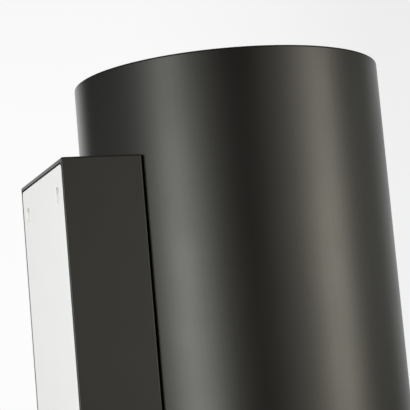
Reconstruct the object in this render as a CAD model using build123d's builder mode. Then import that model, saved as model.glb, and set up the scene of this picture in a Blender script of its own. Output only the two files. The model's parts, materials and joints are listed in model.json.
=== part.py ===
from build123d import *
import math
import os

os.makedirs("parts", exist_ok=True)

# Frame: the wall is the plane y = 0, the light stands out from it towards -Y and +Z is up.
# The origin is the centre of the wall plate's back face.

# Tube
tube_diameter = 100.0
tube_wall = 2.5
tube_height = 240.0
rim_round = 0.6
rim_facets = 4               # flat bands that make up the rim's rounding
rim_inner_chamfer = 0.4

# Box behind the tube
box_width = 63.0
box_depth = 25.3
box_wall = 1.2
box_overhang = 28.7          # from the tube's rim to the box's end
box_edge_round = 0.5
shadow_gap = 0.45            # between the tube and the hollowed front of the box
gasket_inset = 5.5           # from the box's outline to the saddle gasket's
saddle_play = 0.06           # between the box and the gasket on the tube

# Wall plate
plate_thickness = 1.5
plate_gap = 0.6              # all round, inside the box
plate_corner_round = 1.5
wall_hole_inset_x = 7.2      # from the plate's edges to the holes' centres
wall_hole_inset_z = 8.5
wall_hole_diameter = 5.0
tab_width = 30.0
tab_depth = 11.5
cable_hole_diameter = 16.0
cable_hole_drop = 46.0       # below the origin

# Screws and their fits
thread_play = 0.05           # radial, where a thread is left plain
hole_play = 0.3              # radial, where a screw passes through
cover_screw_diameter = 4.0
cover_screw_depth = 6.5      # from the wall
cover_screw_length = 8.0
button_round = 1.3
socket_flats = 2.5
socket_depth = 1.3
body_screw_diameter = 5.0
body_screw_rise = 60.0       # above and below the middle
screw_tail = 1.0             # past the nut
head_share = 0.95            # a head's radius over its screw's diameter
button_share = 0.55          # a button head's height over its screw's diameter
pan_share = 0.65             # a pan head's height over its screw's diameter
pan_round = 1.0
slot_share = 0.25            # a slot's width over its screw's diameter
recess_share = 0.5           # a slot's depth over the head's height
washer_diameter = 12.0
washer_thickness = 1.1
clinch_nut_diameter = 8.0
clinch_nut_height = 3.0

# Lampholder brackets
bracket_sheet = 1.5
bracket_width = 22.0
bracket_web_top = 68.0
bracket_disc_diameter = 38.0

# Grommets
lead_hole_diameter = 12.0
lead_hole_rise = 6.0         # above the origin
grommet_bore = 8.0
grommet_flange = 1.8         # how far the flange reaches past the hole's edge
grommet_end = 2.0            # thickness of each flange
grommet_play = 0.1
cable_bore = 8.4
cable_flange_diameter = 21.0
cable_flange_thickness = 1.5
cable_nozzle_length = 4.0
cable_nozzle_wall = 1.4

# Terminal block
pole_pitch = 12.0
tower_gap = 3.6              # between two poles' towers
block_height = 18.0
block_thickness = 9.5
block_corner_round = 1.0
block_web_height = 12.6
block_web_thickness = 5.9
block_top = -12.0
contact_depth = 6.2          # from the wall to the contacts' centre line
contact_diameter = 5.4
contact_bore = 4.0
contact_length = 15.0
contact_play = 0.1
terminal_screw_diameter = 3.2
terminal_screw_pitch = 8.0
terminal_screw_sink = 0.5    # below the block's front
terminal_slot_width = 0.6
terminal_slot_depth = 0.8
block_screw_diameter = 3.0
block_screw_head_diameter = 5.4
block_screw_head_height = 1.5

# End of the tube: clamp ring, glass, gasket, baffle and seat
ring_recess = 8.0
ring_height = 6.0
ring_width = 5.2
ring_band = 2.5
ring_lip = 1.5
running_play = 0.08
seat_sleeve = 1.9
seat_shelf_width = 6.5
seat_shelf_thickness = 2.0
glass_thickness = 4.0
gasket_lip = 1.5
gasket_lip_width = 1.8
gasket_outer_wall = 2.2
gasket_play = 0.4
baffle_sheet = 0.8
baffle_play = 0.3
baffle_overhang = 0.5        # of the flange past the shelf
baffle_drop = 4.0            # how far the cone's edge is behind the lamp's face
notch_count = 4
notch_width = 4.0
notch_depth = 2.5
notch_reach = 1.4            # radially, into the band

# Lamp and lampholder
lamp_diameter = 50.0
lamp_length = 50.0
lamp_setback = 6.8           # from the gasket's back to the lamp's face
lamp_clearance = 1.4         # between the lamp and the baffle's edge
lamp_lens_thickness = 2.4
lamp_lens_recess = 0.4
lamp_rim = 1.5
lamp_base_radius = 9.5
lamp_base_height = 4.0
lamp_neck_radius = 13.0
lamp_neck_bottom = 8.0       # this height and the next four are above the lamp's base
lamp_neck_top = 16.0
lamp_fin_bottom = 18.0
lamp_bowl_height = 34.0
lamp_fin_top = 41.0
lamp_rim_bottom = 42.0
lamp_bowl_radius = 22.0
lamp_fin_count = 24
lamp_fin_gap = 1.4
pin_spacing = 10.0
pin_diameter = 2.9
pin_head_diameter = 4.8
pin_length = 7.5
pin_head_height = 1.2
pin_play = 0.3
twist_angle = 30.0
holder_width = 30.0
holder_depth = 20.0
holder_height = 16.0
holder_corner_round = 4.0
holder_edge_round = 1.0
holder_skin = 2.6            # over the pin pockets
holder_play = 0.3            # between the holder and the lamp's base
pocket_depth = 8.0
contact_leaf = 0.5
holder_screw_diameter = 3.0
holder_screw_spacing = 23.0
holder_screw_head_diameter = 5.5
holder_screw_head_height = 2.2
holder_counterbore_depth = 3.4
holder_nut_flats = 5.5
holder_nut_height = 2.4
holder_slot_width = 0.8

# Earth bond and leads
earth_screw_diameter = 4.0
earth_screw_y = -32.0
earth_head_height = 2.4
earth_nut_flats = 7.0
earth_nut_height = 3.2
earth_ring_thickness = 0.8
barrel_wall = 0.7
barrel_length = 5.0
barrel_play = 0.1
lead_diameter = 1.8
lead_row_x = 2.2             # spacing of the leads in the grommet, from its centre
lead_row_z = 1.2
lead_stack = 1.0             # two leads in one contact, each this far from its centre line
lead_hole_play = 0.2
lead_bend_limit = 30.0
lead_turn_radius = 4.0       # where a lead leaves the grommet and turns down in the shallow box
corner_share = 0.45          # of its shorter run that a corner may use up
lead_drop = 11.0             # straight below the bracket's tab
lead_swing = 38.0            # from the tube's axis towards the wall, where the leads turn to the grommet
lead_rise = 5.0              # above the terminal block, where the leads turn down
lead_insertion = 6.0         # into the contact tubes
barrel_insertion = 0.5       # of the earth lead into the ring's barrel, past its middle
earth_run = 13.0             # straight out of the barrel
earth_swing = 15.0
earth_drop = 12.0

# Places worked out from the sizes above
tube_radius = tube_diameter / 2
bore_radius = tube_radius - tube_wall
saddle_radius = tube_radius + shadow_gap
axis_distance = box_depth + math.sqrt(saddle_radius ** 2 - (box_width / 2) ** 2)
half_height = tube_height / 2
box_height = tube_height - 2 * box_overhang
plate_width = box_width - 2 * (box_wall + plate_gap)
plate_height = box_height - 2 * (box_wall + plate_gap)
wall_hole_spacing_x = plate_width - 2 * wall_hole_inset_x
wall_hole_spacing_z = plate_height - 2 * wall_hole_inset_z
web_radius = bore_radius - bracket_sheet

ring_top = half_height - ring_recess
ring_bottom = ring_top - ring_height
gasket_height = glass_thickness + 2 * gasket_lip
gasket_bottom = ring_bottom - gasket_height
shelf_top = gasket_bottom - baffle_sheet
shelf_bottom = shelf_top - seat_shelf_thickness
thread_radius = bore_radius - seat_sleeve
shelf_radius = bore_radius - seat_shelf_width
gasket_radius = thread_radius - gasket_play
glass_radius = gasket_radius - gasket_outer_wall
lamp_face = gasket_bottom - lamp_setback
lamp_base = lamp_face - lamp_length
holder_top = lamp_base - holder_play
holder_bottom = holder_top - holder_height
tab_bottom = holder_bottom - bracket_sheet

tube_axis = Axis((0, -axis_distance, 0), (0, 0, 1))
tube_plane = Plane(origin=(0, -axis_distance, 0), x_dir=(1, 0, 0), z_dir=(0, 0, 1))
turning_plane = Plane.XZ.offset(axis_distance)      # local x is the radius, local y the height


def depth_at(radius, x=0.0):
    """distance from the wall to a cylinder about the tube's axis, at x"""
    return axis_distance - math.sqrt(radius ** 2 - x ** 2)


def band(inner, outer, width):
    """arc-shaped strip of the tube's section on the wall side, |x| up to half of width"""
    with Locations((0, outer)):
        Rectangle(width, 2 * outer)
    Circle(outer, mode=Mode.INTERSECT)
    Circle(inner, mode=Mode.SUBTRACT)


def write_pair(piece, name):
    """the upper piece, and the same piece turned about Y for the tube's lower end"""
    piece.label = f"upper_{name}"
    export_step(piece, f"parts/upper_{name}.step")
    turned = piece.rotate(Axis.Y, 180)
    turned.label = f"lower_{name}"
    export_step(turned, f"parts/lower_{name}.step")


# Tube: its section turned about the axis, with three holes on the wall side. The rim's points lie at
# radius - round * (1 - cos t) and height - round * (1 - sin t), with t from 0 to a quarter turn.
rim_turns = [math.pi / 2 * step / rim_facets for step in range(rim_facets + 1)]
upper_section = [
    (tube_radius - rim_round * (1 - math.cos(turn)), half_height - rim_round * (1 - math.sin(turn)))
    for turn in rim_turns
]
upper_section += [(bore_radius + rim_inner_chamfer, half_height), (bore_radius, half_height - rim_inner_chamfer)]
lower_section = [(radius, -height) for radius, height in reversed(upper_section)]
with BuildPart() as tube_body:
    with BuildSketch(turning_plane):
        Polygon(*upper_section, *lower_section, align=None)
    revolve(axis=tube_axis)
    with BuildSketch(Plane.XZ.offset(depth_at(saddle_radius))):
        with Locations((0, body_screw_rise), (0, -body_screw_rise)):
            Circle(body_screw_diameter / 2 + hole_play)
        with Locations((0, lead_hole_rise)):
            Circle(lead_hole_diameter / 2)
    extrude(amount=tube_radius, mode=Mode.SUBTRACT)
tube_body.part.label = "tube_body"
export_step(tube_body.part, "parts/tube_body.step")

# Box: thin walls, open to the wall, front hollowed about the tube's axis
with BuildPart() as wall_box:
    with BuildSketch(Plane.XY.offset(-box_height / 2)):
        with Locations((0, -axis_distance / 2)):
            Rectangle(box_width, axis_distance)
        with Locations((0, -axis_distance)):
            Circle(saddle_radius, mode=Mode.SUBTRACT)
    extrude(amount=box_height)
    fillet(wall_box.edges(), box_edge_round)
    with BuildSketch(Plane.XY.offset(-box_height / 2 + box_wall)):
        with Locations((0, -axis_distance / 2)):
            Rectangle(box_width - 2 * box_wall, axis_distance)
        with Locations((0, -axis_distance)):
            Circle(saddle_radius + box_wall, mode=Mode.SUBTRACT)
    extrude(amount=box_height - 2 * box_wall, mode=Mode.SUBTRACT)
    with BuildSketch(Plane.XZ):
        with Locations((0, body_screw_rise), (0, -body_screw_rise)):
            Circle(body_screw_diameter / 2 + hole_play)
        with Locations((0, lead_hole_rise)):
            Circle(lead_hole_diameter / 2)
    extrude(amount=axis_distance, mode=Mode.SUBTRACT)
    with BuildSketch(Plane.XY.offset(-box_height / 2)):
        with Locations((0, -cover_screw_depth)):
            Circle(cover_screw_diameter / 2 + hole_play)
    extrude(amount=box_height, mode=Mode.SUBTRACT)
wall_box.part.label = "wall_box"
export_step(wall_box.part, "parts/wall_box.step")

# Saddle gasket: fills the middle of the gap, set back from its edges so that the gap shows
gasket_span = box_height - 2 * gasket_inset
with BuildPart() as saddle_gasket:
    with BuildSketch(tube_plane.offset(-gasket_span / 2)):
        band(tube_radius, saddle_radius - saddle_play, box_width - 2 * gasket_inset)
    extrude(amount=gasket_span)
    with BuildSketch(Plane.XZ):
        with Locations((0, body_screw_rise), (0, -body_screw_rise)):
            Circle(body_screw_diameter / 2 + hole_play)
        with Locations((0, lead_hole_rise)):
            Circle(lead_hole_diameter / 2)
    extrude(amount=axis_distance, mode=Mode.SUBTRACT)
saddle_gasket.part.label = "saddle_gasket"
export_step(saddle_gasket.part, "parts/saddle_gasket.step")

# Wall plate: flat plate with two end tabs bent forward, four wall holes and the cable hole
block_middle = block_top - block_height / 2
with BuildPart() as wall_plate:
    with BuildSketch(Plane.XZ):
        RectangleRounded(plate_width, plate_height, plate_corner_round)
    extrude(amount=plate_thickness)
    with BuildSketch(Plane.XZ):
        with GridLocations(0, plate_height - plate_thickness, 1, 2):
            Rectangle(tab_width, plate_thickness)
    extrude(amount=tab_depth)
    with BuildSketch(Plane.XZ):
        with GridLocations(wall_hole_spacing_x, wall_hole_spacing_z, 2, 2):
            Circle(wall_hole_diameter / 2)
        with Locations((0, -cable_hole_drop)):
            Circle(cable_hole_diameter / 2)
        with Locations((-pole_pitch / 2, block_middle), (pole_pitch / 2, block_middle)):
            Circle(block_screw_diameter / 2 + thread_play)
    extrude(amount=plate_thickness, mode=Mode.SUBTRACT)
    with BuildSketch(Plane.XY.offset(-plate_height / 2)):
        with Locations((0, -cover_screw_depth)):
            Circle(cover_screw_diameter / 2 + thread_play)
    extrude(amount=plate_height, mode=Mode.SUBTRACT)
wall_plate.part.label = "wall_plate"
export_step(wall_plate.part, "parts/wall_plate.step")

# Cover screws: button heads with a hexagon socket, one on each end of the box
button_radius = head_share * cover_screw_diameter
button_height = button_share * cover_screw_diameter
with BuildPart() as cover_screws:
    for side in (1, -1):
        head_centre = (0, -cover_screw_depth, side * box_height / 2)
        head_plane = Plane(origin=head_centre, x_dir=(1, 0, 0), z_dir=(0, 0, side))
        with BuildSketch(head_plane):
            Circle(button_radius)
        extrude(amount=button_height)
        head_edge = cover_screws.edges().filter_by(GeomType.CIRCLE).sort_by(Axis.Z)[-1 if side > 0 else 0]
        fillet(head_edge, button_round)
        with BuildSketch(head_plane):
            Circle(cover_screw_diameter / 2)
        extrude(amount=-cover_screw_length)
        with BuildSketch(head_plane.offset(button_height)):
            RegularPolygon(socket_flats / 2, 6, major_radius=False)
        extrude(amount=-socket_depth, mode=Mode.SUBTRACT)
cover_screws.part.label = "cover_screws"
export_step(cover_screws.part, "parts/cover_screws.step")

# Washers with one face shaped to the box's hollowed wall, and the body screws that sit on them
box_front_depth = depth_at(saddle_radius + box_wall)
washer_seat = box_front_depth - washer_thickness
with BuildPart() as saddle_washers:
    with BuildSketch(Plane.XZ.offset(washer_seat)):
        with Locations((0, body_screw_rise), (0, -body_screw_rise)):
            Circle(washer_diameter / 2)
            Circle(body_screw_diameter / 2 + hole_play, mode=Mode.SUBTRACT)
    extrude(amount=washer_diameter)
    with BuildSketch(tube_plane.offset(-half_height)):
        Circle(saddle_radius + box_wall)
    extrude(amount=tube_height, mode=Mode.SUBTRACT)
saddle_washers.part.label = "saddle_washers"
export_step(saddle_washers.part, "parts/saddle_washers.step")

nut_end = depth_at(web_radius) + clinch_nut_height
pan_radius = head_share * body_screw_diameter
pan_height = pan_share * body_screw_diameter
slot_width = slot_share * body_screw_diameter
with BuildPart() as body_screws:
    with BuildSketch(Plane.XZ.offset(washer_seat)):
        with Locations((0, body_screw_rise), (0, -body_screw_rise)):
            Circle(pan_radius)
    extrude(amount=-pan_height)
    fillet(body_screws.edges().group_by(Axis.Y)[-1], pan_round)
    with BuildSketch(Plane.XZ.offset(washer_seat)):
        with Locations((0, body_screw_rise), (0, -body_screw_rise)):
            Circle(body_screw_diameter / 2)
    extrude(amount=nut_end + screw_tail - washer_seat)
    with BuildSketch(Plane.XZ.offset(washer_seat - pan_height)):
        with Locations((0, body_screw_rise), (0, -body_screw_rise)):
            Rectangle(pan_radius, slot_width)
            Rectangle(slot_width, pan_radius)
    extrude(amount=recess_share * pan_height, mode=Mode.SUBTRACT)
body_screws.part.label = "body_screws"
export_step(body_screws.part, "parts/body_screws.step")

# Clinch nuts: seated on the brackets' inner faces
with BuildPart() as bracket_nuts:
    with BuildSketch(Plane.XZ.offset(nut_end)):
        with Locations((0, body_screw_rise), (0, -body_screw_rise)):
            Circle(clinch_nut_diameter / 2)
            Circle(body_screw_diameter / 2 + thread_play, mode=Mode.SUBTRACT)
    extrude(amount=-clinch_nut_diameter)
    with BuildSketch(tube_plane.offset(-half_height)):
        Circle(web_radius)
    extrude(amount=tube_height, mode=Mode.INTERSECT)
bracket_nuts.part.label = "bracket_nuts"
export_step(bracket_nuts.part, "parts/bracket_nuts.step")

# Bracket: a web rolled to the tube's bore and a tab bent inwards under the lampholder
pin_radius = pin_spacing / 2
lead_bore_radius = lead_diameter / 2 + lead_hole_play
with BuildPart() as bracket:
    with BuildSketch(tube_plane.offset(tab_bottom)):
        band(web_radius, bore_radius, bracket_width)
    extrude(amount=bracket_web_top - tab_bottom)
    with BuildSketch(tube_plane.offset(tab_bottom)):
        with Locations((0, bore_radius / 2)):
            Rectangle(bracket_width, bore_radius)
        Circle(bracket_disc_diameter / 2)
        Circle(bore_radius, mode=Mode.INTERSECT)
        with GridLocations(holder_screw_spacing, 0, 2, 1):
            Circle(holder_screw_diameter / 2 + hole_play, mode=Mode.SUBTRACT)
        with GridLocations(pin_spacing, 0, 2, 1):
            Circle(2 * lead_bore_radius, mode=Mode.SUBTRACT)
        with Locations((0, axis_distance + earth_screw_y)):
            Circle(earth_screw_diameter / 2 + hole_play, mode=Mode.SUBTRACT)
    extrude(amount=bracket_sheet)
    with BuildSketch(Plane.XZ):
        with Locations((0, body_screw_rise)):
            Circle(body_screw_diameter / 2 + hole_play)
    extrude(amount=axis_distance, mode=Mode.SUBTRACT)
write_pair(bracket.part, "bracket")

# Lead grommet: a spool through the box, the saddle gasket and the tube
spool_start = box_front_depth - grommet_end
spool_end = depth_at(bore_radius) + grommet_end
spool_length = spool_end - spool_start
with BuildPart() as lead_grommet:
    with BuildSketch(Plane.XZ.offset(spool_start)):
        with Locations((0, lead_hole_rise)):
            Circle(lead_hole_diameter / 2 + grommet_flange)
    extrude(amount=spool_length)
    with BuildSketch(tube_plane.offset(-half_height)):
        Circle(saddle_radius + box_wall)
        Circle(bore_radius, mode=Mode.SUBTRACT)
    extrude(amount=tube_height, mode=Mode.SUBTRACT)
    with BuildSketch(Plane.XZ.offset(spool_start)):
        with Locations((0, lead_hole_rise)):
            Circle(lead_hole_diameter / 2 - grommet_play)
    extrude(amount=spool_length)
    with BuildSketch(Plane.XZ.offset(spool_start)):
        with Locations((0, lead_hole_rise)):
            Circle(grommet_bore / 2)
    extrude(amount=spool_length, mode=Mode.SUBTRACT)
lead_grommet.part.label = "lead_grommet"
export_step(lead_grommet.part, "parts/lead_grommet.step")

# Cable grommet: flanged bush in the wall plate with a tapered nozzle
nozzle_start = plate_thickness + cable_flange_thickness
cable_axis = Axis((0, 0, -cable_hole_drop), (0, -1, 0))
with BuildPart() as cable_grommet:
    with BuildSketch(Plane(origin=(0, 0, -cable_hole_drop), x_dir=(1, 0, 0), z_dir=(0, 0, 1))):
        Polygon(
            (cable_bore / 2, 0),
            (cable_hole_diameter / 2 - grommet_play, 0),
            (cable_hole_diameter / 2 - grommet_play, -plate_thickness),
            (cable_flange_diameter / 2, -plate_thickness),
            (cable_flange_diameter / 2, -nozzle_start),
            (cable_bore / 2 + 2 * cable_nozzle_wall, -nozzle_start),
            (cable_bore / 2 + cable_nozzle_wall, -nozzle_start - cable_nozzle_length),
            (cable_bore / 2, -nozzle_start - cable_nozzle_length),
            align=None,
        )
    revolve(axis=cable_axis)
cable_grommet.part.label = "cable_grommet"
export_step(cable_grommet.part, "parts/cable_grommet.step")

# Terminal block: three towers with a contact tube in each
block_front = plate_thickness + block_thickness
tower_width = pole_pitch - tower_gap
web_front = plate_thickness + block_web_thickness
screw_rows = (block_middle - terminal_screw_pitch / 2, block_middle + terminal_screw_pitch / 2)
screw_places = [(x, z) for x in (-pole_pitch, 0, pole_pitch) for z in screw_rows]
with BuildPart() as terminal_block:
    with BuildSketch(Plane.XZ.offset(plate_thickness)):
        with Locations((0, block_middle)):
            Rectangle(3 * pole_pitch, block_web_height)
    extrude(amount=block_web_thickness)
    with BuildSketch(Plane.XZ.offset(plate_thickness)):
        with Locations((0, block_middle)):
            with GridLocations(pole_pitch, 0, 3, 1):
                RectangleRounded(tower_width, block_height, block_corner_round)
    extrude(amount=block_thickness)
    with BuildSketch(Plane.XY.offset(block_top)):
        with Locations((0, -contact_depth)):
            with GridLocations(pole_pitch, 0, 3, 1):
                Circle(contact_diameter / 2 + contact_play)
    extrude(amount=-block_height, mode=Mode.SUBTRACT)
    with BuildSketch(Plane.XZ.offset(contact_depth)):
        with Locations(*screw_places):
            Circle(terminal_screw_diameter / 2 + hole_play)
    extrude(amount=block_front - contact_depth, mode=Mode.SUBTRACT)
    with BuildSketch(Plane.XZ):
        with Locations((0, block_middle)):
            with GridLocations(pole_pitch, 0, 2, 1):
                Circle(block_screw_diameter / 2 + hole_play)
    extrude(amount=block_front, mode=Mode.SUBTRACT)
    with BuildSketch(Plane.XZ.offset(web_front)):
        with Locations((0, block_middle)):
            with GridLocations(pole_pitch, 0, 2, 1):
                Circle(block_screw_head_diameter / 2 + hole_play)
    extrude(amount=block_thickness, mode=Mode.SUBTRACT)
terminal_block.part.label = "terminal_block"
export_step(terminal_block.part, "parts/terminal_block.step")

with BuildPart() as terminal_contacts:
    with BuildSketch(Plane.XY.offset(block_middle - contact_length / 2)):
        with Locations((0, -contact_depth)):
            with GridLocations(pole_pitch, 0, 3, 1):
                Circle(contact_diameter / 2)
                Circle(contact_bore / 2, mode=Mode.SUBTRACT)
    extrude(amount=contact_length)
    with BuildSketch(Plane.XZ.offset(contact_depth)):
        with Locations(*screw_places):
            Circle(terminal_screw_diameter / 2 + thread_play)
    extrude(amount=contact_diameter, mode=Mode.SUBTRACT)
terminal_contacts.part.label = "terminal_contacts"
export_step(terminal_contacts.part, "parts/terminal_contacts.step")

screw_tip = contact_depth + contact_bore / 2 + contact_play
screw_face = block_front - terminal_screw_sink
with BuildPart() as terminal_screws:
    with BuildSketch(Plane.XZ.offset(screw_tip)):
        with Locations(*screw_places):
            Circle(terminal_screw_diameter / 2)
    extrude(amount=screw_face - screw_tip)
    with BuildSketch(Plane.XZ.offset(screw_face)):
        with Locations(*screw_places):
            Rectangle(terminal_screw_diameter, terminal_slot_width)
    extrude(amount=-terminal_slot_depth, mode=Mode.SUBTRACT)
terminal_screws.part.label = "terminal_screws"
export_step(terminal_screws.part, "parts/terminal_screws.step")

with BuildPart() as block_screws:
    with BuildSketch(Plane.XZ):
        with Locations((0, block_middle)):
            with GridLocations(pole_pitch, 0, 2, 1):
                Circle(block_screw_diameter / 2)
    extrude(amount=web_front)
    with BuildSketch(Plane.XZ.offset(web_front)):
        with Locations((0, block_middle)):
            with GridLocations(pole_pitch, 0, 2, 1):
                Circle(block_screw_head_diameter / 2)
    extrude(amount=block_screw_head_height)
block_screws.part.label = "block_screws"
export_step(block_screws.part, "parts/block_screws.step")

# Earth bond under the upper bracket's tab
ring_face = tab_bottom - earth_ring_thickness
earth_tip = ring_face - earth_nut_height - screw_tail
with BuildPart() as earth_screw:
    with BuildSketch(Plane.XY.offset(holder_bottom)):
        with Locations((0, earth_screw_y)):
            Circle(head_share * earth_screw_diameter)
    extrude(amount=earth_head_height)
    with BuildSketch(Plane.XY.offset(holder_bottom)):
        with Locations((0, earth_screw_y)):
            Circle(earth_screw_diameter / 2)
    extrude(amount=earth_tip - holder_bottom)
    with BuildSketch(Plane.XY.offset(holder_bottom + earth_head_height)):
        with Locations((0, earth_screw_y)):
            Rectangle(2 * earth_screw_diameter, slot_share * earth_screw_diameter)
    extrude(amount=-recess_share * earth_head_height, mode=Mode.SUBTRACT)
earth_screw.part.label = "earth_screw"
export_step(earth_screw.part, "parts/earth_screw.step")

with BuildPart() as earth_nut:
    with BuildSketch(Plane.XY.offset(ring_face)):
        with Locations((0, earth_screw_y)):
            RegularPolygon(earth_nut_flats / 2, 6, major_radius=False)
            Circle(earth_screw_diameter / 2 + thread_play, mode=Mode.SUBTRACT)
    extrude(amount=-earth_nut_height)
earth_nut.part.label = "earth_nut"
export_step(earth_nut.part, "parts/earth_nut.step")

barrel_bore = lead_diameter / 2 + barrel_play
barrel_radius = barrel_bore + barrel_wall
barrel_start = earth_screw_y - earth_screw_diameter - barrel_radius
barrel_z = tab_bottom - barrel_radius - barrel_play
with BuildPart() as earth_ring:
    with BuildSketch(Plane.XY.offset(ring_face)):
        with Locations((0, earth_screw_y)):
            Circle(earth_screw_diameter)
        with Locations((0, (earth_screw_y + barrel_start) / 2)):
            Rectangle(2 * barrel_radius, earth_screw_y - barrel_start)
        with Locations((0, earth_screw_y)):
            Circle(earth_screw_diameter / 2 + hole_play, mode=Mode.SUBTRACT)
    extrude(amount=earth_ring_thickness)
    with BuildSketch(Plane.XZ.offset(-barrel_start)):
        with Locations((0, barrel_z)):
            Circle(barrel_radius)
    extrude(amount=barrel_length)
    with BuildSketch(Plane.XZ.offset(-barrel_start)):
        with Locations((0, barrel_z)):
            Circle(barrel_bore)
    extrude(amount=barrel_length, mode=Mode.SUBTRACT)
earth_ring.part.label = "earth_ring"
export_step(earth_ring.part, "parts/earth_ring.step")

# Seat ring: sleeve with the thread, and the shelf for the baffle and gasket
with BuildPart() as seat_ring:
    with BuildSketch(turning_plane):
        Polygon(
            (shelf_radius, shelf_bottom),
            (bore_radius, shelf_bottom),
            (bore_radius, ring_top),
            (thread_radius, ring_top),
            (thread_radius, shelf_top),
            (shelf_radius, shelf_top),
            align=None,
        )
    revolve(axis=tube_axis)
write_pair(seat_ring.part, "seat_ring")

# Baffle: a spun cone whose flange is held under the gasket
cone_edge_radius = lamp_diameter / 2 + lamp_clearance
cone_edge = lamp_face - baffle_drop
flange_radius = shelf_radius - baffle_overhang
cone_slope = math.atan2(gasket_bottom - cone_edge, flange_radius - cone_edge_radius)
cone_drop = baffle_sheet / math.cos(cone_slope)
cone_under_radius = cone_edge_radius + (shelf_top - cone_edge + cone_drop) / math.tan(cone_slope)
with BuildPart() as baffle:
    with BuildSketch(turning_plane):
        Polygon(
            (thread_radius - baffle_play, gasket_bottom),
            (flange_radius, gasket_bottom),
            (cone_edge_radius, cone_edge),
            (cone_edge_radius, cone_edge - cone_drop),
            (cone_under_radius, shelf_top),
            (thread_radius - baffle_play, shelf_top),
            align=None,
        )
    revolve(axis=tube_axis)
write_pair(baffle.part, "baffle")

# Glass and its U-section gasket
glass_bottom = gasket_bottom + gasket_lip
with BuildPart() as glass:
    with BuildSketch(tube_plane.offset(glass_bottom)):
        Circle(glass_radius)
    extrude(amount=glass_thickness)
write_pair(glass.part, "glass")

gasket_inner_radius = glass_radius - gasket_lip_width
with BuildPart() as glass_gasket:
    with BuildSketch(turning_plane):
        Polygon(
            (gasket_inner_radius, gasket_bottom),
            (gasket_radius, gasket_bottom),
            (gasket_radius, ring_bottom),
            (gasket_inner_radius, ring_bottom),
            (gasket_inner_radius, ring_bottom - gasket_lip),
            (glass_radius, ring_bottom - gasket_lip),
            (glass_radius, glass_bottom),
            (gasket_inner_radius, glass_bottom),
            align=None,
        )
    revolve(axis=tube_axis)
write_pair(glass_gasket.part, "glass_gasket")

# Clamp ring: threaded band with a bevelled lip and spanner notches
ring_radius = thread_radius - running_play
ring_inner_radius = thread_radius - ring_width
band_radius = ring_radius - ring_band
with BuildPart() as clamp_ring:
    with BuildSketch(turning_plane):
        Polygon(
            (ring_inner_radius, ring_bottom),
            (ring_radius, ring_bottom),
            (ring_radius, ring_top),
            (band_radius, ring_top),
            (ring_inner_radius, ring_bottom + ring_lip),
            align=None,
        )
    revolve(axis=tube_axis)
    with BuildSketch(tube_plane.offset(ring_top)):
        with PolarLocations(ring_inner_radius, notch_count):
            Rectangle(2 * (band_radius + notch_reach - ring_inner_radius), notch_width)
    extrude(amount=-notch_depth, mode=Mode.SUBTRACT)
write_pair(clamp_ring.part, "clamp_ring")

# Lampholder: ceramic block with two pockets that turn under a skin, for the twist lock
pocket_arcs = [
    CenterArc((0, 0), pin_radius, start, twist_angle)
    for start in (0, 180)
]
neck_slot = pin_diameter + 2 * pin_play
head_slot = pin_head_diameter + 2 * pin_play
with BuildPart() as holder:
    with BuildSketch(tube_plane.offset(holder_bottom)):
        RectangleRounded(holder_width, holder_depth, holder_corner_round)
    extrude(amount=holder_height)
    fillet(holder.edges().group_by(Axis.Z)[-1], holder_edge_round)
    with BuildSketch(tube_plane.offset(holder_top)):
        for arc in pocket_arcs:
            SlotArc(arc, neck_slot)
        with PolarLocations(pin_radius, 2, start_angle=twist_angle):
            Circle(head_slot / 2)
    extrude(amount=-holder_skin, mode=Mode.SUBTRACT)
    with BuildSketch(tube_plane.offset(holder_top - holder_skin)):
        for arc in pocket_arcs:
            SlotArc(arc, head_slot)
    extrude(amount=-(pocket_depth - holder_skin), mode=Mode.SUBTRACT)
    with BuildSketch(tube_plane.offset(holder_bottom)):
        with GridLocations(pin_spacing, 0, 2, 1):
            Circle(lead_bore_radius)
    extrude(amount=holder_height - pocket_depth, mode=Mode.SUBTRACT)
    with BuildSketch(tube_plane.offset(holder_bottom)):
        with GridLocations(holder_screw_spacing, 0, 2, 1):
            Circle(holder_screw_diameter / 2 + hole_play)
    extrude(amount=holder_height, mode=Mode.SUBTRACT)
    with BuildSketch(tube_plane.offset(holder_top)):
        with GridLocations(holder_screw_spacing, 0, 2, 1):
            Circle(holder_screw_head_diameter / 2 + hole_play / 2)
    extrude(amount=-holder_counterbore_depth, mode=Mode.SUBTRACT)
write_pair(holder.part, "holder")

# Contact leaves on the floor of the pockets
pocket_floor = holder_top - pocket_depth
with BuildPart() as holder_contacts:
    with BuildSketch(tube_plane.offset(pocket_floor)):
        for arc in pocket_arcs:
            SlotArc(arc, head_slot - 2 * contact_play)
    extrude(amount=contact_leaf)
write_pair(holder_contacts.part, "holder_contacts")

# Holder screws and nuts, for both ends
screw_head_seat = holder_top - holder_counterbore_depth
with BuildPart() as holder_screws:
    for side in (1, -1):
        seat_centre = (0, -axis_distance, side * screw_head_seat)
        seat_plane = Plane(origin=seat_centre, x_dir=(1, 0, 0), z_dir=(0, 0, side))
        with BuildSketch(seat_plane):
            with GridLocations(holder_screw_spacing, 0, 2, 1):
                Circle(holder_screw_head_diameter / 2)
        extrude(amount=holder_screw_head_height)
        with BuildSketch(seat_plane):
            with GridLocations(holder_screw_spacing, 0, 2, 1):
                Circle(holder_screw_diameter / 2)
        extrude(amount=-(screw_head_seat - tab_bottom + holder_nut_height + screw_tail))
        with BuildSketch(seat_plane.offset(holder_screw_head_height)):
            with GridLocations(holder_screw_spacing, 0, 2, 1):
                Rectangle(holder_screw_head_diameter, holder_slot_width)
        extrude(amount=-recess_share * holder_screw_head_height, mode=Mode.SUBTRACT)
holder_screws.part.label = "holder_screws"
export_step(holder_screws.part, "parts/holder_screws.step")

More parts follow.
